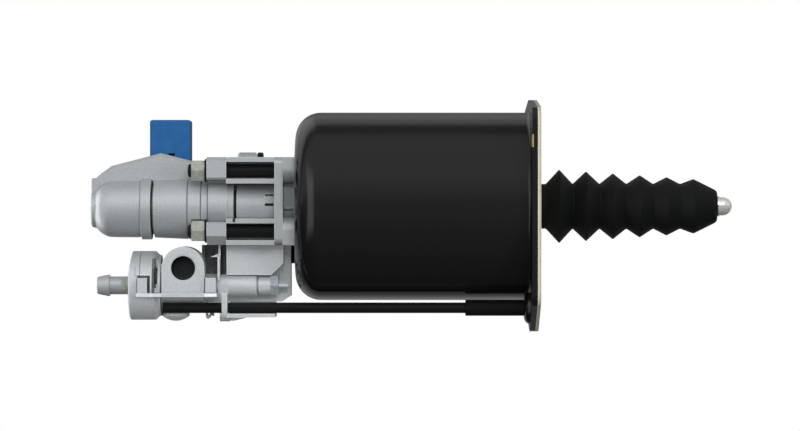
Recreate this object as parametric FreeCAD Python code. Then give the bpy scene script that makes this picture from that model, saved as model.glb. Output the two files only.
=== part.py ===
"""Clutch servo: an air cylinder with a hydraulic body, a relay valve and a push rod.

Millimetres. The origin is the centre of the mounting face on the servo's axis. X points along
the push rod, Z is up and the side with the air port looks towards minus Y.
"""

import FreeCAD, Part
import math
import os

V = FreeCAD.Vector

# Running and seating clearances
slide_clearance = 0.1
seal_clearance = 0.2
seat_clearance = 0.05
free_clearance = 0.5

# Cylinder can and its flange
can_radius = 56.2
can_wall = 2.5
can_length = 144.5
can_shoulder = 15.0
flange_thickness = 3.2
flange_half_width = 62.0
flange_corner_z = 57.5
flange_lower_z = -56.0
flange_peak_z = 63.8
flange_corner_radius = 8.0
flange_root_radius = 2.5
mount_hole_radius = 4.5
mount_hole_edge = 8.0
mount_hole_z = 38.6

# Front cover and its gasket
cover_thickness = 1.0
gasket_thickness = 1.0
spring_bead_height = 1.5
spring_bead_width = 4.0

# Push rod, guide bush and bellows
rod_radius = 5.5
rod_reach = 116.9
rod_step_reach = 109.3
rod_step_height = 0.5
bush_radius = 10.5
bush_neck_radius = 8.5
bush_nose_radius = 7.0
bush_length = 16.0
bush_collar = 4.0
bellows_wall = 1.5
bellows_grip = 6.0
bellows_collar_radius = 13.4
bellows_collar_length = 5.3
bellows_first_peak = 22.1
bellows_last_peak = 16.4
bellows_pitch = 16.1
bellows_folds = 6
bellows_end_radius = 10.0
bellows_length = 107.7

# Power piston
piston_back_gap = 9.0
piston_rim_width = 15.0
piston_rim_thickness = 5.0
piston_web = 4.0
piston_hub_radius = 11.0
piston_hub_length = 24.0
piston_edge_gap = 0.8
cup_width = 5.0
cup_depth = 4.0
guide_width = 4.0
guide_depth = 2.5
rod_grip = 14.0
piston_step = 3.0
piston_groove_edge = 2.0

# Return spring
spring_radius = 33.0
spring_wire = 2.0
spring_turns = 6.0
coil_steps = 12
wire_sides = 6

# Hydraulic plunger
plunger_radius = 7.0
plunger_head_radius = 12.0
plunger_head_length = 9.0
plunger_cup_width = 4.0
plunger_cup_depth = 3.0
plunger_groove_edge = 3.0

# Studs that hold the hydraulic body to the can
stud_radius = 4.0
stud_y = 20.0
stud_pitch_z = 35.8
stud_centre_z = 3.2
stud_head_radius = 7.5
stud_head_height = 4.0
stud_end = 2.1
stud_chamfer = 0.7
washer_thickness = 1.2
washer_radius = 7.0
nut_across_flats = 12.0
nut_height = 8.0

# Hydraulic body
body_length = 52.1
body_half_width = 27.0
body_height = 52.0
body_centre_z = 3.1
rear_flange_length = 11.6
front_flange_length = 12.0
front_band_length = 5.0
rib_thickness = 2.8
window_height = 10.0
body_core_half_width = 13.0
body_barrel_radius = 15.6
body_step_radius = 17.8
rear_collar_radius = 18.8
boss_round = 4.0
boss_reach = 5.4
boss_chamfer = 1.2
boss_top_chamfer = 2.1
boss_bottom_chamfer = 5.2
hub_radius = 13.4
hub_rib_half_width = 17.0
hub_rib_zs = (-1.4, 12.0)

# Rear dome and its web
dome_axis_z = -1.2
dome_length = 70.2
dome_end_radius = 11.3
dome_shoulder_radius = 16.9
dome_root_radius = 18.4
dome_ring_radius = 18.7
dome_ring_start = 29.6
dome_ring_length = 6.9
dome_bore_depth = 59.0
web_half_thickness = 6.0
web_bevel = 1.6
web_peak_z = 31.8

# Hydraulic port and its transit cap
port_x = -220.8
port_y = 20.0
port_boss_radius = 10.0
port_boss_top = 26.0
port_nipple_radius = 6.0
port_nipple_height = 14.0
cap_width = 24.4
cap_depth = 20.0
cap_top = 52.2
cap_height = 26.0
cap_corner = 1.5

# Bleed screw behind the hydraulic body
bleed_radius = 6.3
bleed_x = -180.9
bleed_boss_length = 10.9
bleed_hex_length = 1.2
bleed_flats = 11.0
bleed_cap_length = 3.4
bleed_cap_wall = 0.8
bleed_cap_round = 1.0
bleed_nipple_radius = 3.8
bleed_y = 33.5
bleed_z = 26.7

# Relay valve
valve_y = -10.0
valve_z = -47.2
valve_cap_radius = 20.5
valve_cap_length = 15.0
valve_cap_end = -228.9
valve_cap_wall = 4.5
valve_cap_chamfer = 0.3
valve_cap_slant = 2.8
valve_cap_floor = 5.0
neck_radius = 18.2
neck_length = 4.7
neck_rim = 1.4
neck_slope = 2.3
barrel_radius = 13.0
barrel_end = -199.0
valve_bore_radius = 10.0
valve_bore_depth = 24.0
control_bore_radius = 5.0
control_bore_end = -171.0
port_x_air = -210.3
port_z_air = -36.6
port_radius_air = 7.2
port_depth_air = 10.0
port_chamfer_air = 1.0
supply_radius = 1.6
port_boss_radius_air = 12.6
port_face_y = -30.0
ledge_z = -51.4
ledge_thickness = 2.1
ledge_left = -237.7
ledge_front = -34.0
lug_front = -33.2
lug_gap = 1.6
lug_gap_y = -27.0
lug_line = 0.5
ledge_right = -190.1
nose_radius = 6.8
nose_end = -167.2
nose_tip_radius = 5.8
nose_tip_end = -159.3
end_screw_flats = 11.7
end_screw_length = 4.7
end_pin_radius = 1.3
end_pin_length = 6.0

# Hose barb on the valve cap
barb_bore = 3.4
barb_stub_radius = 5.35
barb_radius = 6.4
barb_tip = -262.7
barb_boss_radius = 7.5

# Inside the relay valve
seat_ring_length = 3.0
seat_hole_radius = 5.0
seat_lip = 0.8
exhaust_gap = 1.0
inlet_disc_radius = 7.5
inlet_disc_length = 3.5
inlet_stem_flats = 4.6
control_disc_length = 6.0
control_stem_radius = 3.2

# Breather tube, its sleeve and nozzle
tube_y = -20.0
tube_z = -60.3
tube_radius = 3.15
tube_bore = 2.2
tube_start = -222.9
tube_end = -32.0
sleeve_radius = 4.75
sleeve_start = -43.3
nozzle_boss_length = 3.3
nozzle_radius = 3.15
nozzle_length = 24.0
lug_radius = 14.0

# Air transfer seal between the valve body and the can
transfer_y = 5.0
transfer_z = -28.8
transfer_radius = 5.5
transfer_bore = 3.0
transfer_grip = 4.0

# Screws that hold the valve body under the hydraulic body
valve_screw_radius = 3.0
valve_screw_head_radius = 5.0
valve_screw_head_height = 6.0
valve_screw_y = 9.0
valve_screw_xs = (-181.0, -165.0)

# More sizes of the castings
gland_radius = 11.0
gland_length = 14.0
spigot_radius = 14.8
spigot_length = 6.0
spigot_ring_offset = 2.5
spigot_ring_width = 1.4
spigot_ring_depth = 0.9
gallery_radius = 1.6
gallery_z = 16.5
plunger_seal_length = 4.5
joint_groove_x = 15.4
joint_groove_width = 1.7
joint_groove_radius = 12.6
slot_x = -162.5
slot_length = 5.1
slot_height = 1.3
slot_depth = 3.0
slot_zs = (6.5, 0.9)
key_height = 3.8
key_rise = 0.4
valve_screw_grip = 7.0
valve_screw_clamp = 8.0
bleed_thread_radius = 3.0
bleed_thread_length = 8.0
dome_disc_length = 1.6
dome_neck_radius = 10.2
dome_groove_depth = 1.5
dome_shoulder_length = 12.0
dome_collar_length = 12.7
web_start_z = 16.7
web_knee = 12.2
web_knee_z = 24.2
web_peak = 41.6
web_end_z = 27.2
web_end_gap = 10.3
port_thread_depth = 10.0
port_bore_radius = 2.5
valve_right = -147.5
valve_top = -23.2
arch_depth = 8.0
cap_lug_xs = (-237.1, -231.4)
body_lug_xs = (-197.0, -190.9)
lug_top = -42.4
plate_left = -185.0
plate_corner_z = -53.7
plate_corner_cut = 5.2
plate_bottom = -57.0
back_plate_y = -2.5
back_plate_depth = 25.0
panel_left = -185.4
panel_right = -151.5
panel_corner_z = -33.8
panel_bottom = -40.9
panel_y = -14.5
pocket_floor_y = 8.0
pocket_edge_y = -24.0
pocket_left = -201.0
pocket_wall = 2.0
pocket_edge_xs = (-190.2, -189.0)
pocket_edge_zs = (-43.7, -30.2)
pocket_rib_x = -194.9
pocket_rib_rise = 2.5
groove_xs = (-227.5, -225.4)
groove_bottom = -46.0
groove_y = -21.6
groove_top = -31.5
pocket_base_z = -57.2
nose_groove_length = 1.0
nose_groove_radius = 4.7
nose_chamfer = 0.8
fin_left = -184.5
fin_right = -156.3
fin_z = -65.9
fin_thickness = 2.3
fin_front_y = -27.0
fin_gusset = 2.1
ear_x = -187.5
ear_thickness = 3.2
ear_radius = 8.1
ear_foot_z = -63.4
ear_foot_step = 1.4
exhaust_x = -215.8
exhaust_radius = 8.2
exhaust_neck = 3.4
exhaust_height = 4.7
exhaust_dome = 3.1
end_thread_radius = 3.0
end_thread_length = 5.0
barb_thread_radius = 4.8
barb_rise = 6.5
seat_ring_start = -228.0
inlet_spring_radius = 6.0
inlet_stem_length = 9.0
control_disc_start = -216.0
control_groove = 1.8
control_plunger_end = -190.0
control_spring_radius = 7.0

# Places that follow from the sizes
flange_back = -(cover_thickness + gasket_thickness + flange_thickness)
gasket_back = -(cover_thickness + gasket_thickness)
can_back = -can_length
can_inner_back = can_back + can_wall
can_bore = can_radius - can_wall
body_front = can_back
body_back = body_front - body_length
body_top = body_centre_z + body_height / 2
body_bottom = body_centre_z - body_height / 2
nut_front = body_back - washer_thickness
gland_start = body_back + spigot_length
gland_end = gland_start + gland_length
spigot_ring_x = body_back + spigot_ring_offset
stud_zs = (stud_centre_z + stud_pitch_z / 2, stud_centre_z - stud_pitch_z / 2)
dome_front = body_back
sleeve_end = flange_back - nozzle_boss_length
dome_back = dome_front - dome_length
piston_back = can_inner_back + piston_back_gap
piston_front = piston_back + piston_rim_width
piston_face = piston_back + piston_web + piston_step
rod_start = piston_face + piston_hub_length - rod_grip
mount_hole_y = flange_half_width - mount_hole_edge
inlet_face = seat_ring_start - seat_lip - seat_clearance
plunger_back = dome_front - dome_bore_depth + plunger_groove_edge
bleed_end = bleed_x + bleed_boss_length
bleed_cap_start = bleed_end + bleed_hex_length
barb_root = valve_cap_end - valve_cap_length


def wire(points, place):
    """Closed wire. A point of four numbers ends an arc that passes through its first two."""
    corners = [place(*point[-2:]) for point in points]
    edges = []
    for index, point in enumerate(points):
        start = corners[index - 1]
        if len(point) == 4:
            edges.append(Part.Arc(start, place(*point[:2]), corners[index]).toShape())
        elif start.distanceToPoint(corners[index]) > 1e-6:
            edges.append(Part.makeLine(start, corners[index]))
    return Part.Wire(edges)


def turned(points, y=0.0, z=0.0):
    """Solid turned about a line along X; the points are (x, radius)."""
    face = Part.Face(wire(points, lambda x, radius: V(x, y, z + radius)))
    return face.revolve(V(0, y, z), V(1, 0, 0), 360)


def plate(points, x_start, x_end):
    """Outline in Y and Z, extruded along X."""
    face = Part.Face(wire(points, lambda y, z: V(x_start, y, z)))
    return face.extrude(V(x_end - x_start, 0, 0))


def slab(points, y_start, y_end):
    """Outline in X and Z, extruded along Y."""
    face = Part.Face(wire(points, lambda x, z: V(x, y_start, z)))
    return face.extrude(V(0, y_end - y_start, 0))


def rod(x_start, x_end, radius, y=0.0, z=0.0):
    return Part.makeCylinder(radius, x_end - x_start, V(x_start, y, z), V(1, 0, 0))


def upright(z_start, z_end, radius, x, y):
    return Part.makeCylinder(radius, z_end - z_start, V(x, y, z_start), V(0, 0, 1))


def across(y_start, y_end, radius, x, z):
    return Part.makeCylinder(radius, y_end - y_start, V(x, y_start, z), V(0, 1, 0))


def block(xs, ys, zs):
    size = (xs[1] - xs[0], ys[1] - ys[0], zs[1] - zs[0])
    return Part.makeBox(*size, V(xs[0], ys[0], zs[0]))


def ring(x_start, x_end, outer, inner, y=0.0, z=0.0):
    return rod(x_start, x_end, outer, y, z).cut(rod(x_start, x_end, inner, y, z))


def hexagon(x_start, x_end, across_flats, y=0.0, z=0.0, turn=0.0):
    """Hexagon bar along X; with no turn, one corner points up."""
    corner = across_flats / math.sqrt(3)
    angles = [math.radians(turn + 60 * step) for step in range(6)]
    points = [(y + corner * math.sin(a), z + corner * math.cos(a)) for a in angles]
    return plate(points, x_start, x_end)


def rounded(points, radius, sharp=()):
    """The same polygon with an arc of the radius at each corner whose index isn't in sharp."""
    result = []
    for index, point in enumerate(points):
        if index in sharp:
            result.append(point)
            continue
        here = V(*point, 0)
        back = (V(*points[index - 1], 0) - here).normalize()
        ahead = (V(*points[(index + 1) % len(points)], 0) - here).normalize()
        half = back.getAngle(ahead) / 2
        middle = here + (back + ahead).normalize() * (radius / math.sin(half))
        start = here + back * (radius / math.tan(half))
        end = here + ahead * (radius / math.tan(half))
        crown = middle + (here - middle).normalize() * radius
        result.append((start.x, start.y))
        result.append((crown.x, crown.y, end.x, end.y))
    return result


def rectangle(a_range, b_range):
    (a_low, a_high), (b_low, b_high) = a_range, b_range
    return [(a_low, b_low), (a_high, b_low), (a_high, b_high), (a_low, b_high)]


def tangent_point(point, centre, radius, side):
    """Where a line from the point touches the circle, on the side given as 1 or -1."""
    reach = math.dist(point, centre)
    angle = math.atan2(point[1] - centre[1], point[0] - centre[0])
    angle += side * math.acos(radius / reach)
    return (centre[0] + radius * math.cos(angle), centre[1] + radius * math.sin(angle))


def fuse(*shapes):
    return shapes[0].multiFuse(list(shapes[1:])).removeSplitter()


def coil(x_start, x_end, radius, wire_radius, turns, y=0.0, z=0.0):
    """Open spring between two planes, lofted in straight steps from a wire of few sides."""
    length = x_end - x_start - 2 * wire_radius
    count = round(turns * coil_steps)
    sections = []
    for step in range(count + 1):
        angle = 2 * math.pi * step / coil_steps
        outward = V(0, math.cos(angle), math.sin(angle))
        centre = V(x_start + wire_radius + length * step / count, y, z) + outward * radius
        corners = []
        for side in range(wire_sides):
            turn = 2 * math.pi * (side + 0.5) / wire_sides
            corner = outward * math.cos(turn) + V(math.sin(turn), 0, 0)
            corners.append(centre + corner * wire_radius)
        sections.append(Part.makePolygon(corners + corners[:1]))
    return Part.makeLoft(sections, True, True)


def flange_sheet(x_start, x_end):
    """Sheet with the flange's outline: a low gable above and a round lug for the breather."""
    centre = (tube_y, tube_z)
    near_corner = (-flange_half_width, flange_lower_z)
    far_corner = (flange_half_width, flange_lower_z)
    outline = rounded([
        near_corner,
        (-flange_half_width, flange_corner_z),
        (0, flange_peak_z),
        (flange_half_width, flange_corner_z),
        far_corner,
        tangent_point(far_corner, centre, lug_radius, -1),
        tangent_point(near_corner, centre, lug_radius, 1),
    ], flange_corner_radius, sharp=(5, 6))
    sheet = fuse(plate(outline, x_start, x_end), rod(x_start, x_end, lug_radius, *centre))
    holes = [
        rod(x_start, x_end, mount_hole_radius, y, z)
        for y in (-mount_hole_y, mount_hole_y)
        for z in (-mount_hole_z, mount_hole_z)
    ]
    return sheet.cut(holes)


def cylinder_can():
    """Deep-drawn can and flange in one piece, open in front, with a bored back wall."""
    inner_shoulder = can_shoulder - can_wall
    slope = math.sin(math.radians(45))
    outer_mid = can_shoulder * (1 - slope)
    inner_mid = inner_shoulder * (1 - slope)
    root_mid = flange_root_radius * (1 - slope)
    shell = turned([
        (can_back, dome_bore_radius()),
        (can_back, can_radius - can_shoulder),
        (can_back + outer_mid, can_radius - outer_mid, can_back + can_shoulder, can_radius),
        (flange_back - flange_root_radius, can_radius),
        (flange_back - root_mid, can_radius + root_mid,
         flange_back, can_radius + flange_root_radius),
        (gasket_back, can_radius + flange_root_radius),
        (gasket_back, can_bore),
        (can_inner_back + inner_shoulder, can_bore),
        (can_inner_back + inner_mid, can_bore - inner_mid,
         can_inner_back, can_bore - inner_shoulder),
        (can_inner_back, dome_bore_radius()),
    ])
    sheet = flange_sheet(flange_back, gasket_back)
    sheet = sheet.cut(rod(flange_back, gasket_back, can_bore))
    boss = turned([
        (flange_back, 0),
        (flange_back - nozzle_boss_length, 0),
        (flange_back - nozzle_boss_length, sleeve_radius + 0.5),
        (flange_back - 2.3, sleeve_radius + 3.6, flange_back, sleeve_radius + 5.0),
    ], tube_y, tube_z)
    can = fuse(shell, sheet, boss)
    holes = [rod(can_back, can_inner_back, stud_radius + seat_clearance, y, z)
             for y in (-stud_y, stud_y) for z in stud_zs]
    holes.append(rod(can_back, can_inner_back, transfer_radius, transfer_y, transfer_z))
    holes.append(rod(sleeve_end, gasket_back, nozzle_radius, tube_y, tube_z))
    return can.cut(holes)


def dome_bore_radius():
    """Bore of the dome and of the can's back wall."""
    return plunger_head_radius + seal_clearance


def cover_gasket():
    sheet = flange_sheet(gasket_back, -cover_thickness)
    return sheet.cut(rod(gasket_back, -cover_thickness, can_bore))


def front_cover():
    """Pressed sheet with a bead that centres the return spring and a hole for the bush."""
    sheet = flange_sheet(-cover_thickness, 0)
    outer = spring_radius * math.cos(math.pi / coil_steps) - spring_wire - slide_clearance
    inner = outer - spring_bead_width
    bead = ring(-cover_thickness - spring_bead_height, 0, outer, inner)
    hollow = ring(-spring_bead_height, 0, outer - cover_thickness, inner + cover_thickness)
    bush_hole = rod(-cover_thickness, 0, bush_neck_radius + seat_clearance)
    return fuse(sheet, bead).cut(hollow).cut(bush_hole)


def rod_guide_bush():
    """Flanged bush in the cover that guides the rod and carries the bellows."""
    bore = rod_radius + slide_clearance
    return turned([
        (-bush_length, bore),
        (-bush_length, bush_nose_radius),
        (-bush_length + bush_neck_radius - bush_nose_radius, bush_neck_radius),
        (0, bush_neck_radius),
        (0, bush_radius),
        (bush_collar, bush_radius),
        (bush_collar, bore),
    ])


def push_rod():
    """Steel rod with a round tip and a thin turned step behind it."""
    tip_centre = rod_reach - rod_radius
    slope = math.sin(math.radians(45)) * rod_radius
    return turned([
        (rod_start, 0),
        (rod_start, rod_radius),
        (rod_step_reach - 0.8, rod_radius),
        (rod_step_reach - 0.8, rod_radius + rod_step_height),
        (rod_step_reach, rod_radius + rod_step_height),
        (rod_step_reach, rod_radius),
        (tip_centre, rod_radius),
        (tip_centre + slope, slope, rod_reach, 0),
    ])


def bellows_profile(inset):
    """Crest and valley points of the folds, moved inwards by the inset."""
    points = []
    first = bellows_collar_length + bellows_pitch / 2
    for fold in range(bellows_folds):
        share = fold / (bellows_folds - 1)
        crest = bellows_first_peak + share * (bellows_last_peak - bellows_first_peak)
        points.append((first + fold * bellows_pitch, crest - inset))
        points.append((first + (fold + 0.5) * bellows_pitch, bellows_collar_radius - inset))
    return points


def bellows():
    """Folded rubber boot between the bush collar and the rod."""
    outer = [(0, bellows_collar_radius), (bellows_collar_length, bellows_collar_radius)]
    outer += bellows_profile(0)[:-1]
    outer += [
        (bellows_length - 1.2, bellows_end_radius),
        (bellows_length - 0.3, bellows_end_radius - 0.4, bellows_length, bellows_end_radius - 1.3),
    ]
    seat = rod_radius + seat_clearance
    inner = [(bellows_length, seat), (bellows_length - bellows_grip, seat)]
    inner += reversed(bellows_profile(bellows_wall / math.sin(math.radians(45)))[:-1])
    seat = bush_radius + seat_clearance
    inner += [(bush_collar, bellows_collar_radius - bellows_wall), (bush_collar, seat), (0, seat)]
    return turned(outer + inner)


def power_piston():
    """Cast piston: hub, web and a rim with grooves for the cup and the guide band."""
    rim = can_bore - piston_edge_gap
    inner = rim - piston_rim_thickness
    plunger_seat = plunger_radius + seat_clearance
    rod_seat = rod_radius + seat_clearance
    piston = turned([
        (piston_back, plunger_seat),
        (piston_back, piston_hub_radius),
        (piston_back + piston_step, piston_hub_radius + piston_step),
        (piston_back + piston_step, inner),
        (piston_back, inner),
        (piston_back, rim),
        (piston_front, rim),
        (piston_front, inner),
        (piston_face, inner),
        (piston_face, piston_hub_radius + piston_step),
        (piston_face + piston_step, piston_hub_radius),
        (piston_back + piston_hub_length, piston_hub_radius),
        (piston_back + piston_hub_length, rod_seat),
        (rod_start, rod_seat),
        (rod_start, plunger_seat),
    ])
    cup_start = piston_back + piston_groove_edge
    guide_start = piston_front - piston_groove_edge - guide_width
    grooves = [
        ring(cup_start, cup_start + cup_width, rim, rim - cup_depth),
        ring(guide_start, guide_start + guide_width, rim, rim - guide_depth),
    ]
    return piston.cut(grooves)


def piston_cup():
    """Rubber cup seal whose lip reaches the can's bore."""
    rim = can_bore - piston_edge_gap
    start = piston_back + piston_groove_edge
    lip = can_bore - seal_clearance
    return turned([
        (start, rim - cup_depth),
        (start, rim - cup_depth + 1.5),
        (start + 1.8, rim - cup_depth + 1.9),
        (start + 0.2, lip),
        (start + 1.6, lip),
        (start + cup_width, rim - 1.0),
        (start + cup_width, rim - cup_depth),
    ])


def piston_guide_band():
    rim = can_bore - piston_edge_gap
    start = piston_front - piston_groove_edge - guide_width
    return ring(start, start + guide_width, can_bore - seal_clearance, rim - guide_depth)


def return_spring():
    """Coil spring between the piston and the cover."""
    gap = seat_clearance
    return coil(piston_face + gap, -cover_thickness - gap, spring_radius, spring_wire, spring_turns)


def hydraulic_plunger():
    """Piston rod of the hydraulic cylinder, fixed in the power piston's hub."""
    head = plunger_head_radius
    groove = plunger_back + plunger_groove_edge
    return turned([
        (plunger_back, 0),
        (plunger_back, head - 2.0),
        (plunger_back + 1.0, head),
        (groove, head),
        (groove, head - plunger_cup_depth),
        (groove + plunger_cup_width, head - plunger_cup_depth),
        (groove + plunger_cup_width, head),
        (plunger_back + plunger_head_length, head),
        (plunger_back + plunger_head_length, plunger_radius),
        (rod_start, plunger_radius),
        (rod_start, 0),
    ])


def plunger_cup():
    groove = plunger_back + plunger_groove_edge
    inner = plunger_head_radius - plunger_cup_depth
    return turned([
        (groove, inner),
        (groove, plunger_head_radius),
        (groove + plunger_cup_width, plunger_head_radius - 0.8),
        (groove + plunger_cup_width, inner),
    ])


def stud_places():
    return [(y, z) for y in (-stud_y, stud_y) for z in stud_zs]


def body_studs():
    """Four studs with flat heads inside the can; their chamfered ends stand out of the nuts."""
    end = nut_front - nut_height - stud_end
    head_end = can_inner_back + stud_head_height
    studs = [turned([
        (end, 0),
        (end, stud_radius - stud_chamfer),
        (end + stud_chamfer, stud_radius),
        (can_inner_back, stud_radius),
        (can_inner_back, stud_head_radius),
        (head_end, stud_head_radius),
        (head_end, 0),
    ], y, z) for y, z in stud_places()]
    return Part.makeCompound(studs)


def stud_washers():
    """Spring washers between the nuts and the hydraulic body."""
    return Part.makeCompound([
        ring(nut_front, body_back, washer_radius, stud_radius, y, z) for y, z in stud_places()
    ])


def stud_nuts():
    """Hexagon nuts with one corner towards the side and chamfered ends."""
    nuts = []
    back = nut_front - nut_height
    corner = nut_across_flats / math.sqrt(3)
    for y, z in stud_places():
        nut = hexagon(back, nut_front, nut_across_flats, y, z, 30)
        cone = turned([
            (back, 0),
            (back, nut_across_flats / 2),
            (back + 0.9, corner),
            (nut_front - 0.9, corner),
            (nut_front, nut_across_flats / 2),
            (nut_front, 0),
        ], y, z)
        nuts.append(nut.common(cone).cut(rod(back, nut_front, stud_radius, y, z)))
    return Part.makeCompound(nuts)


def stud_boss(side, z):
    """Rear boss round a stud, with chamfered corners, that reaches the top or the bottom."""
    outer = side * body_half_width
    upper = z > body_centre_z
    reach = body_top if upper else body_bottom
    inward = -1 if upper else 1
    end_chamfer = boss_top_chamfer if upper else boss_bottom_chamfer
    near = z + inward * boss_reach
    return plate([
        (0, reach),
        (outer - side * end_chamfer, reach),
        (outer, reach + inward * end_chamfer),
        (outer, near - inward * boss_chamfer),
        (outer - side * boss_chamfer, near),
        (0, near),
    ], body_back, body_back + rear_flange_length)


def hydraulic_body():
    """Casting between the can and the dome: rear bosses, ribs, a core, a barrel and a flange."""
    front_start = body_front - front_flange_length
    band_end = front_start + front_band_length
    rear_end = body_back + rear_flange_length
    width = (-body_half_width, body_half_width)
    height = (body_bottom, body_top)
    outline = rounded(rectangle(width, height), boss_round)
    pieces = [
        plate(outline, front_start, band_end),
        rod(body_back, rear_end, rear_collar_radius),
        rod(rear_end, body_back + joint_groove_x, body_step_radius),
        rod(rear_end, band_end, body_barrel_radius),
        rod(band_end, body_front, hub_radius),
        block((band_end, body_front), (-hub_rib_half_width, hub_rib_half_width), hub_rib_zs),
        rod(body_front, can_inner_back, dome_bore_radius() - seat_clearance),
    ]
    pieces += [stud_boss(math.copysign(1, y), z) for y, z in stud_places()]
    inner_top = body_top - rib_thickness - window_height
    inner_bottom = body_bottom + rib_thickness + window_height
    core = (-body_core_half_width, body_core_half_width)
    pieces.append(block((body_back, front_start), core, (inner_top - rib_thickness, body_top)))
    pieces.append(block((body_back, front_start), core, (body_bottom, inner_bottom + rib_thickness)))
    for low in (body_top - rib_thickness, inner_top - rib_thickness, inner_bottom, body_bottom):
        pieces.append(block((rear_end, front_start), width, (low, low + rib_thickness)))
    boss = boss_round + stud_radius
    for y, z in stud_places():
        pieces.append(rod(band_end, body_front, boss, y, z))
        reach = body_top if z > body_centre_z else body_bottom
        zs = sorted((z, reach))
        pieces.append(block((band_end, body_front), (y - boss, y + boss), zs))
    pieces.append(turned([
        (bleed_x, 0),
        (bleed_x, bleed_radius - 1.0),
        (bleed_x + 1.0, bleed_radius),
        (bleed_end, bleed_radius),
        (bleed_end, 0),
    ], bleed_y, bleed_z))
    pieces.append(block((bleed_x, bleed_end), (body_half_width - rib_thickness, bleed_y),
                        (bleed_z - bleed_radius, body_top - 1.0)))
    key_z = sum(slot_zs) / 2
    pieces.append(block((slot_x, front_start), (-body_barrel_radius - key_rise, 0),
                        (key_z - key_height / 2, key_z + key_height / 2)))
    body = fuse(*pieces)
    cuts = [rod(body_back, body_front, stud_radius + seat_clearance, y, z)
            for y, z in stud_places()]
    cuts.append(rod(body_back, can_inner_back, plunger_radius + slide_clearance))
    cuts.append(rod(body_back, gland_end, gland_radius))
    cuts.append(rod(body_back, body_back + spigot_length, spigot_radius + seat_clearance))
    cuts.append(ring(spigot_ring_x, spigot_ring_x + spigot_ring_width,
                     spigot_radius + spigot_ring_depth, spigot_radius))
    groove = body_back + joint_groove_x
    window = (inner_bottom + rib_thickness + 1.0, inner_top - rib_thickness - 1.0)
    cuts.append(ring(groove, groove + joint_groove_width, rear_collar_radius,
                     joint_groove_radius)
                .common(block((body_back, body_front), width, window)))
    for z in slot_zs:
        cuts.append(block((slot_x, slot_x + slot_length),
                          (-body_half_width, slot_depth - body_barrel_radius),
                          (z - slot_height / 2, z + slot_height / 2)))
    for x in valve_screw_xs:
        cuts.append(upright(body_bottom, body_bottom + valve_screw_grip,
                            valve_screw_radius + seat_clearance, x, valve_screw_y))
    cuts.append(rod(bleed_end - bleed_thread_length, bleed_end,
                    bleed_thread_radius + seat_clearance, bleed_y, bleed_z))
    return body.cut(cuts)


def plunger_guide():
    """Bush in the body's rear bore that guides the plunger."""
    start = gland_start + plunger_seal_length
    return ring(start, gland_end, gland_radius, plunger_radius + slide_clearance)


def plunger_seal():
    """Rubber ring that closes the hydraulic chamber around the plunger."""
    start = gland_start
    return turned([
        (start + 0.5, gland_radius),
        (start + 0.5, gland_radius - 1.5),
        (start + 1.8, gland_radius - 2.0),
        (start + 0.5, plunger_radius + seal_clearance),
        (start + 2.0, plunger_radius + seal_clearance),
        (start + plunger_seal_length, plunger_radius + 1.2),
        (start + plunger_seal_length, gland_radius),
    ])


def dome_ring():
    """Wire ring that locks the dome's spigot in the body."""
    end = spigot_ring_x + spigot_ring_width
    return ring(spigot_ring_x, end, spigot_radius + spigot_ring_depth,
                spigot_radius - spigot_ring_depth)


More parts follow.
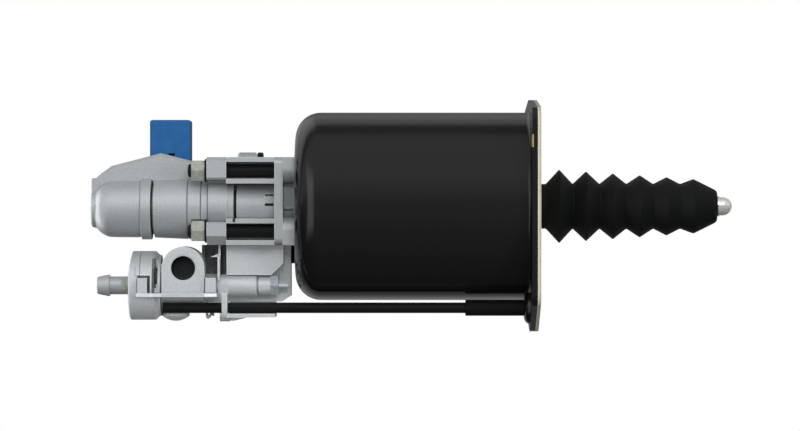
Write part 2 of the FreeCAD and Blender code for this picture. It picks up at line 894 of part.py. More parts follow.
def rear_dome():
    """Cast end of the hydraulic cylinder, with a web above it and the port boss behind."""
    ring_start = dome_back + dome_ring_start
    ring_end = ring_start + dome_ring_length
    shoulder = dome_back + dome_shoulder_length
    neck = dome_back + dome_disc_length
    collar = dome_front - dome_collar_length
    shell = turned([
        (dome_back, 0),
        (dome_back, dome_end_radius - 0.8),
        (dome_back + 0.8, dome_end_radius),
        (neck, dome_end_radius),
        (neck + 1.2, dome_neck_radius, neck + 2.4, dome_end_radius + 0.6),
        (neck + 5.0, dome_end_radius + 3.9, shoulder, dome_shoulder_radius),
        (ring_start, dome_shoulder_radius + 0.2),
        (ring_start + 0.7, dome_ring_radius),
        (ring_end - 0.5, dome_ring_radius),
        (ring_end, dome_shoulder_radius - dome_groove_depth),
        (ring_end + 1.2, dome_shoulder_radius - dome_groove_depth),
        (ring_end + 1.4, dome_shoulder_radius + 0.6),
        (collar, dome_root_radius),
        (collar + 0.4, dome_root_radius - 0.7),
        (collar + 1.0, dome_root_radius),
        (dome_front - 4.6, dome_root_radius + 0.3),
        (dome_front - 4.2, dome_root_radius - 0.6),
        (dome_front - 3.8, dome_root_radius - 0.1),
        (dome_front, dome_root_radius - 0.1),
        (dome_front, 0),
    ], 0, dome_axis_z)
    spigot_end = dome_front + spigot_length - seat_clearance
    spigot = rod(dome_front, spigot_end, spigot_radius)
    outline = [
        (dome_back + 0.2, dome_axis_z),
        (dome_back + 0.2, web_start_z),
        (dome_back + 2.9, web_start_z + 0.3),
        (dome_back + 5.9, web_start_z + 3.0),
        (dome_back + web_knee, web_knee_z),
        (dome_back + web_peak, web_peak_z),
        (dome_front - web_end_gap, web_end_z),
        (dome_front - web_end_gap, dome_axis_z),
    ]
    web = slab(outline, -web_half_thickness, web_half_thickness)
    ridge = [edge for edge in web.Edges
             if edge.BoundBox.YLength < 0.01 and edge.BoundBox.ZMin > web_start_z - 0.5
             and edge.BoundBox.XLength > 1.0]
    web = web.makeChamfer(web_bevel, ridge)
    boss = upright(dome_axis_z, port_boss_top, port_boss_radius, port_x, port_y)
    bridge = block((port_x - 6.0, port_x + 6.0), (0, port_y), (dome_axis_z, gallery_z + 4.0))
    foot = Part.makeSphere(port_boss_radius, V(port_x, port_y, dome_axis_z))
    dome = fuse(shell, web, boss, bridge, foot, spigot)
    bore_back = dome_front - dome_bore_depth
    cuts = [
        rod(bore_back, spigot_end, dome_bore_radius()),
        ring(spigot_ring_x, spigot_ring_x + spigot_ring_width, spigot_radius,
             spigot_radius - spigot_ring_depth),
        upright(port_boss_top - port_thread_depth, port_boss_top,
                port_nipple_radius + seat_clearance, port_x, port_y),
        upright(gallery_z, port_boss_top, port_bore_radius, port_x, port_y),
        across(0, port_y, gallery_radius, port_x, gallery_z),
        rod(bore_back + 2.5, port_x, gallery_radius, 0, gallery_z),
        upright(0, gallery_z, gallery_radius, bore_back + 2.5, 0),
    ]
    pocket = nut_across_flats / math.sqrt(3) + free_clearance
    back = nut_front - nut_height - free_clearance
    cuts += [rod(back, dome_front, pocket, y, z) for y, z in stud_places()]
    cuts += [rod(back - stud_end - 2.0, dome_front, stud_radius + free_clearance, y, z)
             for y, z in stud_places()]
    return dome.cut(cuts)


def port_nipple():
    """Screwed hydraulic nipple under the transit cap."""
    start = port_boss_top - port_thread_depth
    nipple = fuse(
        upright(start, port_boss_top, port_nipple_radius, port_x, port_y),
        upright(port_boss_top, port_boss_top + 5.0, port_nipple_radius + 2.0, port_x, port_y),
        upright(port_boss_top, port_boss_top + port_nipple_height, port_nipple_radius,
                port_x, port_y),
    )
    return nipple.cut(upright(start, port_boss_top + port_nipple_height, port_bore_radius,
                              port_x, port_y))


def port_cap():
    """Box-shaped plastic cap over the nipple, closed above."""
    xs = (port_x - cap_width / 2, port_x + cap_width / 2)
    ys = (port_y - cap_depth / 2, port_y + cap_depth / 2)
    cap = block(xs, ys, (cap_top - cap_height, cap_top))
    edges = [edge for edge in cap.Edges if edge.BoundBox.ZMax > cap_top - cap_height + 0.1]
    cap = cap.makeFillet(cap_corner, edges)
    socket = upright(cap_top - cap_height, port_boss_top + port_nipple_height + 0.5,
                     port_nipple_radius + 2.0 + seat_clearance, port_x, port_y)
    return cap.cut(socket)


def bleed_screw():
    """Bleed screw in the boss on the body's far side; its nipple ends in the cap."""
    return fuse(
        rod(bleed_end - bleed_thread_length, bleed_end, bleed_thread_radius, bleed_y, bleed_z),
        hexagon(bleed_end, bleed_cap_start, bleed_flats, bleed_y, bleed_z, 30),
        rod(bleed_cap_start, bleed_cap_start + bleed_cap_length - bleed_cap_wall - seat_clearance,
            bleed_nipple_radius, bleed_y, bleed_z),
    )


def bleed_cap():
    """Rubber cap over the bleed screw's nipple."""
    end = bleed_cap_start + bleed_cap_length
    cap = rod(bleed_cap_start, end, bleed_radius, bleed_y, bleed_z)
    rim = [edge for edge in cap.Edges if edge.BoundBox.XMin > end - 0.1]
    cap = cap.makeFillet(bleed_cap_round, rim)
    return cap.cut(rod(bleed_cap_start, end - bleed_cap_wall,
                       bleed_nipple_radius + seat_clearance, bleed_y, bleed_z))


def valve_pocket():
    """Floor, side wall, front edge and rib of the pocket between the air port and the panel."""
    back = valve_y + back_plate_depth
    wall_xs = (pocket_left, pocket_left + pocket_wall)
    neck_end_x = valve_cap_end + neck_length
    low = ledge_z - ledge_thickness
    edge_back = (valve_y - neck_length, pocket_floor_y)
    return [
        block(wall_xs, (0, back), (low, valve_top)),
        block((pocket_left, plate_left + 1.0), (pocket_floor_y, back), (low, valve_top)),
        block((pocket_left, plate_left), (valve_y, pocket_floor_y + 1.0), (low, ledge_z)),
        block((neck_end_x, plate_left), (valve_y - barrel_radius / 2, valve_y),
              (pocket_base_z, ledge_z)),
        block(pocket_edge_xs, (pocket_edge_y, pocket_floor_y + 1.0), pocket_edge_zs),
        block(pocket_edge_xs, edge_back, (pocket_edge_zs[1], valve_top)),
        slab([
            (pocket_rib_x, pocket_edge_zs[1]),
            (pocket_edge_xs[1], pocket_edge_zs[1]),
            (pocket_edge_xs[1], pocket_edge_zs[1] + pocket_rib_rise),
        ], edge_back[0], pocket_floor_y + 1.0),
    ]


def tube_ear():
    """Ear that holds the breather tube, with its root on the nose and a wider foot."""
    end = ear_x + ear_thickness
    foot = rod(ear_x - ear_foot_step, end + ear_foot_step, ear_radius, tube_y, tube_z)
    below = block((barrel_end, nose_end), (tube_y - ear_radius, valve_y),
                  (tube_z - ear_radius, ear_foot_z))
    root = slab([
        (pocket_edge_xs[0], valve_z),
        (pocket_edge_xs[0], ledge_z),
        (ear_x, pocket_base_z),
        (end, pocket_base_z),
        (end, valve_z),
    ], valve_y - nose_radius, valve_y)
    return [
        rod(ear_x, end, ear_radius, tube_y, tube_z),
        block((ear_x, end), (tube_y - ear_radius, valve_y), (tube_z, ledge_z)),
        foot.common(below),
        root,
    ]


def relay_valve_body():
    """Casting of the relay valve: barrel, air port boss, ledge, pocket, panels and nose."""
    neck_start = valve_cap_end
    neck_end = neck_start + neck_length
    front = valve_right
    y, z = valve_y, valve_z
    arch_back = y + arch_depth
    back = y + back_plate_depth
    pieces = [
        turned([
            (neck_start, 0),
            (neck_start, valve_cap_radius - valve_cap_chamfer),
            (neck_start + valve_cap_chamfer, valve_cap_radius),
            (neck_start + neck_rim, valve_cap_radius),
            (neck_start + neck_rim + neck_slope, neck_radius),
            (neck_end, neck_radius),
            (neck_end, 0),
        ], y, z),
        rod(neck_end, barrel_end, barrel_radius, y, z),
        turned([
            (barrel_end, 0),
            (barrel_end, nose_radius),
            (nose_end - nose_chamfer, nose_radius),
            (nose_end, nose_radius - nose_chamfer),
            (nose_end, nose_groove_radius),
            (nose_end + nose_groove_length, nose_groove_radius),
            (nose_end + nose_groove_length, nose_tip_radius),
            (nose_tip_end, nose_tip_radius),
            (nose_tip_end, 0),
        ], y, z),
        upright(z - barrel_radius - exhaust_neck, z, exhaust_radius, exhaust_x, y),
    ]
    sides = (port_x_air - port_boss_radius_air, port_x_air + port_boss_radius_air)
    arch = slab([
        (sides[0], ledge_z),
        (sides[0], port_z_air),
        (port_x_air, port_z_air + port_boss_radius_air, sides[1], port_z_air),
        (sides[1], ledge_z),
    ], port_face_y, arch_back)
    pieces += [arch, block((neck_end - 1.0, sides[0] + 1.0), (y - barrel_radius, arch_back),
                           (z, z + barrel_radius))]
    pieces.append(block((neck_start, ledge_right), (ledge_front, y),
                        (ledge_z - ledge_thickness, ledge_z)))
    pieces.append(block(body_lug_xs, (lug_front, y), (ledge_z, lug_top)))
    # The back plate and the front panel stand in planes that face the side
    pieces.append(slab([
        (plate_left, valve_top), (front, valve_top), (front, plate_corner_z),
        (front - plate_corner_cut, plate_bottom), (plate_left, plate_bottom),
    ], back_plate_y, back))
    pieces.append(slab([
        (panel_left, valve_top), (panel_right, valve_top), (panel_right, panel_corner_z),
        (panel_right + panel_bottom - panel_corner_z, panel_bottom), (panel_left, panel_bottom),
    ], panel_y, back_plate_y + 1.0))
    pieces.append(block((panel_left, nose_end - 2.0), (y, back_plate_y + 1.0), (z - 4.0, z + 4.0)))
    pieces += valve_pocket()
    # Shelf under the breather tube, with its gusset
    shelf_back = y + back_plate_depth - pocket_floor_y
    pieces.append(block((fin_left, fin_right), (fin_front_y, shelf_back),
                        (fin_z, fin_z + fin_thickness)))
    pieces.append(slab([
        (fin_left, fin_z - fin_gusset), (fin_left + 4.0, fin_z - fin_gusset),
        (fin_left + 12.0, fin_z), (fin_left, fin_z),
    ], tube_y - fin_thickness, tube_y + fin_thickness))
    pieces.append(block((fin_left, fin_right), (shelf_back - 6.0, shelf_back),
                        (fin_z, plate_bottom + fin_thickness)))
    pieces += tube_ear()
    body = fuse(*pieces)
    chamber_end = neck_start + valve_bore_depth
    supply_y = port_face_y + port_depth_air - supply_radius / 2
    supply_z = port_z_air - port_radius_air / 4
    cuts = [
        rod(neck_start, chamber_end, valve_bore_radius, y, z),
        rod(chamber_end, control_bore_end, control_bore_radius, y, z),
        across(port_face_y, port_face_y + port_depth_air, port_radius_air, port_x_air, port_z_air),
        across(port_face_y, port_face_y + port_chamfer_air, port_radius_air + port_chamfer_air,
               port_x_air, port_z_air),
        rod(neck_start, port_x_air, supply_radius, supply_y, supply_z),
        block(groove_xs, (y - 2 * neck_radius, groove_y), (groove_bottom, groove_top)),
        rod(front - transfer_grip, front, transfer_radius, transfer_y, transfer_z),
        rod(front - 2 * transfer_grip, front, transfer_bore, transfer_y, transfer_z),
        rod(tube_start, ear_x + 2 * ear_thickness, tube_radius + seat_clearance, tube_y, tube_z),
        rod(nose_tip_end - end_thread_length, nose_tip_end, end_thread_radius + seat_clearance,
            y, z),
    ]
    for x in valve_screw_xs:
        cuts.append(upright(fin_z - exhaust_height, valve_top, valve_screw_radius + seat_clearance,
                            x, valve_screw_y))
        cuts.append(upright(fin_z - exhaust_height, valve_top - valve_screw_clamp,
                            valve_screw_head_radius + free_clearance, x, valve_screw_y))
    return body.cut(cuts)


def valve_screws():
    """Two socket screws that hold the valve body under the hydraulic body."""
    screws = []
    seat = valve_top - valve_screw_clamp
    for x in valve_screw_xs:
        shank = upright(seat, body_bottom + valve_screw_grip, valve_screw_radius, x, valve_screw_y)
        head = upright(seat - valve_screw_head_height, seat, valve_screw_head_radius,
                       x, valve_screw_y)
        socket = upright(seat - valve_screw_head_height, seat - valve_screw_head_height / 2,
                         valve_screw_radius * 0.8, x, valve_screw_y)
        screws.append(fuse(shank, head).cut(socket))
    return Part.makeCompound(screws)


def valve_cap():
    """Round cap with a slanted upper face that closes the relay valve."""
    start = barb_root
    edge = valve_cap_radius
    inner = edge - valve_cap_wall
    cap = turned([
        (start, 0),
        (start, barb_boss_radius),
        (start + 1.0, edge - 1.0),
        (start + 1.7, edge),
        (valve_cap_end - valve_cap_chamfer, edge),
        (valve_cap_end, edge - valve_cap_chamfer),
        (valve_cap_end, inner),
        (start + valve_cap_floor, inner),
        (start + valve_cap_floor, 0),
    ], valve_y, valve_z)
    ys = (ledge_front, valve_y - edge + valve_cap_wall)
    ledge = block((ledge_left, valve_cap_end), ys, (ledge_z - ledge_thickness, ledge_z))
    lug = block(cap_lug_xs, (lug_front, ys[1]), (ledge_z, lug_top))
    recess_xs = (cap_lug_xs[0] - lug_line, cap_lug_xs[1] + lug_gap)
    front = valve_y - 2 * edge
    slant = slab([
        (start, valve_z),
        (start + valve_cap_slant, valve_z + edge),
        (start - 1.0, valve_z + edge),
        (start - 1.0, valve_z),
    ], valve_y - edge, valve_y + edge)
    return fuse(cap, ledge, lug).cut([
        slant,
        block(recess_xs, (front, lug_gap_y), (lug_top, lug_top + lug_gap)),
        block((cap_lug_xs[1], recess_xs[1]), (front, lug_gap_y), (ledge_z, lug_top)),
        block((recess_xs[0], cap_lug_xs[0]), (front, lug_gap_y), (ledge_z, lug_top)),
        rod(start, start + valve_cap_floor, barb_thread_radius + seat_clearance,
            valve_y, valve_z),
    ])


def hose_barb():
    """Hose nipple with one barb, pressed into the cap."""
    return turned([
        (barb_tip, barb_bore),
        (barb_tip, barb_stub_radius - 0.6),
        (barb_tip + 0.7, barb_stub_radius - 0.1),
        (barb_tip + barb_rise, barb_radius),
        (barb_tip + barb_rise + 0.9, barb_radius),
        (barb_tip + barb_rise + 1.3, barb_stub_radius),
        (barb_root, barb_stub_radius),
        (barb_root, barb_thread_radius),
        (barb_root + valve_cap_floor, barb_thread_radius),
        (barb_root + valve_cap_floor, barb_bore),
    ], valve_y, valve_z)


def valve_seat_ring():
    """Pressed ring with the inlet seat, at the mouth of the valve bore."""
    start = seat_ring_start
    return turned([
        (start, seat_hole_radius),
        (start - seat_lip, seat_hole_radius + 0.8, start, seat_hole_radius + 1.6),
        (start, valve_bore_radius),
        (start + seat_ring_length, valve_bore_radius),
        (start + seat_ring_length, seat_hole_radius),
    ], valve_y, valve_z)


def inlet_valve():
    """Inlet valve disc; its stem slides in the hose barb's bore and has flats for the air."""
    back = inlet_face - inlet_disc_length
    radius = barb_bore - slide_clearance
    stem = rod(back - inlet_stem_length, back, radius, valve_y, valve_z)
    flats = block((back - inlet_stem_length, back), (valve_y - radius, valve_y + radius),
                  (valve_z - inlet_stem_flats / 2, valve_z + inlet_stem_flats / 2))
    return fuse(rod(back, inlet_face, inlet_disc_radius, valve_y, valve_z), stem.common(flats))


def inlet_spring():
    floor = barb_root + valve_cap_floor
    back = inlet_face - inlet_disc_length
    return coil(floor + seat_clearance, back - seat_clearance, inlet_spring_radius, 0.5, 3.0,
                valve_y, valve_z)


def control_piston():
    """Relay piston: stem towards the inlet valve, disc, and plunger in the hydraulic bore."""
    disc = control_disc_start
    end = disc + control_disc_length
    tip = inlet_face + exhaust_gap
    groove = disc + 2.0
    edge = valve_bore_radius - seal_clearance
    return turned([
        (tip, 0),
        (tip, control_stem_radius),
        (disc, control_stem_radius),
        (disc, edge),
        (groove, edge),
        (groove, edge - control_groove),
        (groove + 2.0, edge - control_groove),
        (groove + 2.0, edge),
        (end, edge),
        (end, control_bore_radius - seal_clearance),
        (control_plunger_end, control_bore_radius - seal_clearance),
        (control_plunger_end, 0),
    ], valve_y, valve_z)


def control_ring():
    """Rubber ring in the relay piston's groove."""
    middle = control_disc_start + 3.0
    edge = valve_bore_radius - seal_clearance
    radius = control_groove / 2
    return Part.makeTorus(edge - radius, radius * 0.98, V(middle, valve_y, valve_z), V(1, 0, 0))


def control_cup():
    """Small cup on the end of the relay piston's plunger."""
    start = control_plunger_end
    return turned([
        (start, 0),
        (start, control_bore_radius - 1.0),
        (start + 2.4, control_bore_radius - seal_clearance),
        (start + 3.0, control_bore_radius - seal_clearance),
        (start + 2.0, 0),
    ], valve_y, valve_z)


def control_spring():
    start = seat_ring_start + seat_ring_length + seat_clearance
    end = control_disc_start - seat_clearance
    return coil(start, end, control_spring_radius, 0.6, 3.5, valve_y, valve_z)


def end_screw():
    """Hexagon screw in the nose of the relay valve."""
    start = nose_tip_end
    return fuse(
        hexagon(start, start + end_screw_length, end_screw_flats, valve_y, valve_z, 30),
        rod(start - end_thread_length, start, end_thread_radius, valve_y, valve_z),
    ).cut(rod(start, start + end_screw_length, end_pin_radius, valve_y, valve_z))


def end_pin():
    start = nose_tip_end
    pin = rod(start, start + end_screw_length + end_pin_length, end_pin_radius, valve_y, valve_z)
    return pin.makeFillet(0.5, [edge for edge in pin.Edges
                                if edge.BoundBox.XMin > start + end_screw_length])


def transfer_seal():
    """Rubber sleeve that carries the air from the valve body into the can."""
    return ring(valve_right - transfer_grip, can_inner_back, transfer_radius, transfer_bore,
                transfer_y, transfer_z)


def breather_tube():
    return ring(tube_start, tube_end, tube_radius, tube_bore, tube_y, tube_z)


def tube_sleeve():
    return ring(sleeve_start, sleeve_end, sleeve_radius, tube_radius, tube_y, tube_z)


def breather_nozzle():
    """Short pipe pressed into the flange's lug."""
    return ring(gasket_back - nozzle_length, gasket_back, nozzle_radius, tube_bore,
                tube_y, tube_z)


def exhaust_flap():
    """Round cap over the relay valve's exhaust, domed below."""
    top = valve_z - barrel_radius - exhaust_neck
    edge = top - exhaust_height + exhaust_dome
    sphere_radius = (exhaust_radius ** 2 + exhaust_dome ** 2) / (2 * exhaust_dome)
    sphere = Part.makeSphere(sphere_radius,
                             V(exhaust_x, valve_y, top - exhaust_height + sphere_radius))
    skirt = upright(top - exhaust_height, top, exhaust_radius, exhaust_x, valve_y)
    disc = upright(edge, top, exhaust_radius, exhaust_x, valve_y)
    return fuse(skirt.common(sphere), disc)


makers = [
    cylinder_can,
    cover_gasket,
    front_cover,
    rod_guide_bush,
    push_rod,
    bellows,
    power_piston,
    piston_cup,
    piston_guide_band,
    return_spring,
    hydraulic_plunger,
    plunger_cup,
    body_studs,
    stud_washers,
    stud_nuts,
    hydraulic_body,
    plunger_guide,
    plunger_seal,
    dome_ring,
    rear_dome,
    port_nipple,
    port_cap,
    bleed_screw,
    bleed_cap,
    relay_valve_body,
    valve_screws,
    valve_cap,
    hose_barb,
    valve_seat_ring,
    inlet_valve,
    inlet_spring,
    control_piston,
    control_ring,
    control_cup,
    control_spring,
    end_screw,
    end_pin,
    transfer_seal,
    breather_tube,
    tube_sleeve,
    breather_nozzle,
    exhaust_flap,
]

os.makedirs("parts", exist_ok=True)
for make in makers:
    shape = make()
    name = make.__name__
    print(name, round(shape.Volume), shape.isValid(), len(shape.Solids))
    shape.exportStep(f"parts/{name}.step")
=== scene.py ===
"""Looks of the clutch servo: finishes, rounded castings, bellows, lights and camera."""

import bmesh
import bpy
import math
import numpy as np
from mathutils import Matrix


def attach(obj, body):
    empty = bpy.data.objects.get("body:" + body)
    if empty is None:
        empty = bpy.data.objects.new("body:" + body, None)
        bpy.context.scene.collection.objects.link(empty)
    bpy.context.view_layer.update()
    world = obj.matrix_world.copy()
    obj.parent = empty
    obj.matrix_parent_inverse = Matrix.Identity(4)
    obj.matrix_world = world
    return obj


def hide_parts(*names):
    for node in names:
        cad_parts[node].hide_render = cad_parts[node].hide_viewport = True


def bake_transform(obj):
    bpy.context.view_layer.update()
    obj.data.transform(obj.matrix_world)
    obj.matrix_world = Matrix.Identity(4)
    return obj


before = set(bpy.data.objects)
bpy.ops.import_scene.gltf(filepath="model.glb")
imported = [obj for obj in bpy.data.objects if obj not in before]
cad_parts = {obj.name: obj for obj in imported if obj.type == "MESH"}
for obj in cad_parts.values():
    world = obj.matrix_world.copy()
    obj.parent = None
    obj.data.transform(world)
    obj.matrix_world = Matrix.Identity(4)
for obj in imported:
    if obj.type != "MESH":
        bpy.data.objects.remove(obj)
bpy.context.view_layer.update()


# Cylinder can
# One deep-drawn steel can with its flange, stove-enamelled black. The enamel is smooth and
# glossy with a faint orange peel, so it mirrors the room in long bands.

curve_angle = math.radians(32)


def linear(code):
    """Linear colour of an sRGB hex code."""
    value = np.array([int(code[i:i + 2], 16) for i in (0, 2, 4)]) / 255
    return (*np.where(value <= 0.04045, value / 12.92, ((value + 0.055) / 1.055) ** 2.4), 1.0)


def add_node(material, kind, settings=None, links=None):
    """Adds a shader node. Settings name its properties or inputs; links name its inputs."""
    node = material.node_tree.nodes.new(kind)
    for name, value in (settings or {}).items():
        if isinstance(name, int) or name in node.inputs:
            node.inputs[name].default_value = value
        else:
            setattr(node, name, value)
    for name, output in (links or {}).items():
        material.node_tree.links.new(output, node.inputs[name])
    return node


def finish_named(name, colour, metallic, roughness, **extra):
    """Material with one Principled shader, and that shader."""
    material = bpy.data.materials.new(name)
    material.use_nodes = True
    shader = material.node_tree.nodes["Principled BSDF"]
    shader.inputs["Base Color"].default_value = linear(colour)
    shader.inputs["Metallic"].default_value = metallic
    shader.inputs["Roughness"].default_value = roughness
    for key, value in extra.items():
        shader.inputs[key.replace("_", " ")].default_value = value
    return material, shader


def add_bump(material, shader, grain_mm, height_mm, detail=2.0):
    """Noise bump with the grain's real size, read from Object coordinates."""
    place = add_node(material, "ShaderNodeTexCoord")
    noise = add_node(material, "ShaderNodeTexNoise",
                     {"Scale": 1000 / grain_mm, "Detail": detail, "Roughness": 0.55},
                     {"Vector": place.outputs["Object"]})
    bump = add_node(material, "ShaderNodeBump",
                    {"Strength": 1.0, "Distance": height_mm / 1000},
                    {"Height": noise.outputs["Fac"]})
    material.node_tree.links.new(bump.outputs["Normal"], shader.inputs["Normal"])
    return noise


def add_tint(material, shader, colours, blotch_mm, low=0.35, high=0.65):
    """Blends two hex colours in soft blotches of the real size."""
    place = add_node(material, "ShaderNodeTexCoord")
    noise = add_node(material, "ShaderNodeTexNoise",
                     {"Scale": 1000 / blotch_mm, "Detail": 3.0},
                     {"Vector": place.outputs["Object"]})
    ramp = add_node(material, "ShaderNodeValToRGB", {}, {"Fac": noise.outputs["Fac"]})
    ramp.color_ramp.elements[0].position = low
    ramp.color_ramp.elements[1].position = high
    ramp.color_ramp.elements[0].color = linear(colours[0])
    ramp.color_ramp.elements[1].color = linear(colours[1])
    material.node_tree.links.new(ramp.outputs["Color"], shader.inputs["Base Color"])


black_enamel, enamel_shader = finish_named("black stove enamel", "131314", 0.0, 0.14)
add_bump(black_enamel, enamel_shader, 3.0, 0.003, 1.0)


def mix_in(material, shader, colour, boxes, soft_mm=0.25):
    """Lays a hex colour over the base colour inside boxes (lows, highs, share) in mm."""
    place = add_node(material, "ShaderNodeTexCoord")
    speck = add_node(material, "ShaderNodeTexNoise", {"Scale": 1200.0, "Detail": 2.0},
                     {"Vector": place.outputs["Object"]})
    # Fine noise mottles the laid colour; on the castings it mottles painted shade and painted
    # highlight.
    mottle = add_node(material, "ShaderNodeMapRange",
                    {"From Min": 0.2, "From Max": 0.5, "To Min": 0.7},
                    {"Value": speck.outputs["Fac"]})
    total = None
    for lows, highs, share in boxes:
        inside = None
        for edge, sign in ((lows, 1), (highs, -1)):
            fade = add_node(material, "ShaderNodeMapRange",
                            {"data_type": "FLOAT_VECTOR", "interpolation_type": "SMOOTHSTEP"})
            material.node_tree.links.new(place.outputs["Object"], fade.inputs[6])
            fade.inputs[7].default_value = [(v - sign * soft_mm) / 1000 for v in edge]
            fade.inputs[8].default_value = [(v + sign * soft_mm) / 1000 for v in edge]
            if inside is None:
                inside = fade.outputs[1]
            else:
                inside = add_node(material, "ShaderNodeVectorMath", {"operation": "MULTIPLY"},
                                  {0: inside, 1: fade.outputs[1]}).outputs[0]
        axes = add_node(material, "ShaderNodeSeparateXYZ", {}, {"Vector": inside})
        flat = add_node(material, "ShaderNodeMath", {"operation": "MULTIPLY"},
                        {0: axes.outputs[0], 1: axes.outputs[1]})
        deep = add_node(material, "ShaderNodeMath", {"operation": "MULTIPLY"},
                        {0: flat.outputs[0], 1: axes.outputs[2]})
        part = add_node(material, "ShaderNodeMath", {"operation": "MULTIPLY", 1: share},
                        {0: deep.outputs[0]})
        total = part.outputs[0] if total is None else add_node(
            material, "ShaderNodeMath", {"operation": "MAXIMUM"},
            {0: total, 1: part.outputs[0]}).outputs[0]
    spread = add_node(material, "ShaderNodeMath", {"operation": "MULTIPLY"},
                      {0: total, 1: mottle.outputs[0]})
    base = shader.inputs["Base Color"]
    blend = add_node(material, "ShaderNodeMix", {"data_type": "RGBA", 7: linear(colour)},
                     {0: spread.outputs[0]})
    if base.links:
        material.node_tree.links.new(base.links[0].from_socket, blend.inputs[6])
    else:
        blend.inputs[6].default_value = base.default_value
    material.node_tree.links.new(blend.outputs[2], base)


# A thin yellowish mark laid on the enamel at the root of the flange.
flange_root_mark = [((-5.2, -70, 34.3), (-4.4, 0, 41.8), 0.85)]
mix_in(black_enamel, enamel_shader, "a8955a", flange_root_mark)


def rounded_copy(node, material, edge_mm, body="housing"):
    """Copy of a CAD piece with merged faces, rounded edges and smooth curves, in its place."""
    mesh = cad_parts[node].data.copy()
    mesh.name = node
    work = bmesh.new()
    work.from_mesh(mesh)
    bmesh.ops.remove_doubles(work, verts=work.verts, dist=1e-6)
    bmesh.ops.dissolve_limit(work, angle_limit=math.radians(0.5), verts=work.verts,
                             edges=work.edges)
    work.to_mesh(mesh)
    work.free()
    mesh.materials.clear()
    mesh.materials.append(material)
    mesh.polygons.foreach_set("use_smooth", np.ones(len(mesh.polygons), bool))
    mesh.set_sharp_from_angle(angle=curve_angle)
    piece = bpy.data.objects.new(f"{node}_finished", mesh)
    bpy.context.scene.collection.objects.link(piece)
    if edge_mm:
        bevel = piece.modifiers.new("rounded edges", "BEVEL")
        bevel.width = edge_mm / 1000
        bevel.segments = 2
        bevel.limit_method = "ANGLE"
        bevel.angle_limit = curve_angle
        bevel.use_clamp_overlap = True
        flat = piece.modifiers.new("flat faces", "WEIGHTED_NORMAL")
        flat.keep_sharp = True
        flat.weight = 90
    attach(piece, body)
    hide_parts(node)
    return piece


rounded_copy("cylinder_can", black_enamel, 0.4)


# Front cover and gasket
# A thin zinc-plated, cream-passivated sheet over a fibre gasket of the same outline. Plating
# gives the sheet a dull sheen and the gasket is matt.

cream_plate, cream_shader = finish_named("cream passivated zinc", "c2bead", 0.3, 0.5)
add_tint(cream_plate, cream_shader, ("b2ae9c", "c2beae"), 7.0)
rounded_copy("front_cover", cream_plate, 0.15)
gasket_fibre, fibre_shader = finish_named("gasket fibre", "b9b5a2", 0.0, 0.85)
add_bump(gasket_fibre, fibre_shader, 0.8, 0.03)
rounded_copy("cover_gasket", gasket_fibre, 0.0)


# Push rod
# Ground and polished steel rod with a round tip that sits in the lever's cup.

polished_steel, polish_shader = finish_named("polished steel", "f4f6ef", 0.78, 0.13)
add_bump(polished_steel, polish_shader, 0.5, 0.002, 3.0)
push_rod = rounded_copy("push_rod", polished_steel, 0.0, "piston")


# Castings
# Hydraulic body, dome, valve body and valve cap, die-cast in aluminium and shot-blasted. The
# blast leaves an even, slightly grainy grey. Outer edges carry a painted highlight and hollow
# corners a painted shade.

cast_metal, cast_shader = finish_named("shot-blasted die-cast aluminium", "a9adaf", 0.55, 0.5)
add_tint(cast_metal, cast_shader, ("a1a5a7", "aeb2b4"), 0.9, 0.3, 0.7)
add_bump(cast_metal, cast_shader, 0.55, 0.03, 4.0)


def painted_edge_light_shade(material, shader, colour, reach_mm, inside, open_level, share):
    """Painted shade in hollow corners, or with inside, a painted highlight on outer edges."""
    cover = add_node(material, "ShaderNodeAmbientOcclusion",
                     {"samples": 6, "inside": inside, "only_local": inside,
                      "Distance": reach_mm / 1000})
    amount = add_node(material, "ShaderNodeMapRange",
                      {"interpolation_type": "SMOOTHSTEP", "From Min": open_level[0],
                       "From Max": open_level[1], "To Min": share, "To Max": 0.0},
                      {"Value": cover.outputs["AO"]})
    base = shader.inputs["Base Color"]
    blend = add_node(material, "ShaderNodeMix", {"data_type": "RGBA", 7: linear(colour)},
                     {0: amount.outputs[0]})
    material.node_tree.links.new(base.links[0].from_socket, blend.inputs[6])
    material.node_tree.links.new(blend.outputs[2], base)


# Painted highlight on outer edges, then painted shade in hollow corners.
painted_edge_light_shade(cast_metal, cast_shader, "e4e8ea", 0.9, True, (0.3, 0.75), 0.8)
painted_edge_light_shade(cast_metal, cast_shader, "3a3f42", 2.0, False, (0.3, 0.62), 0.5)
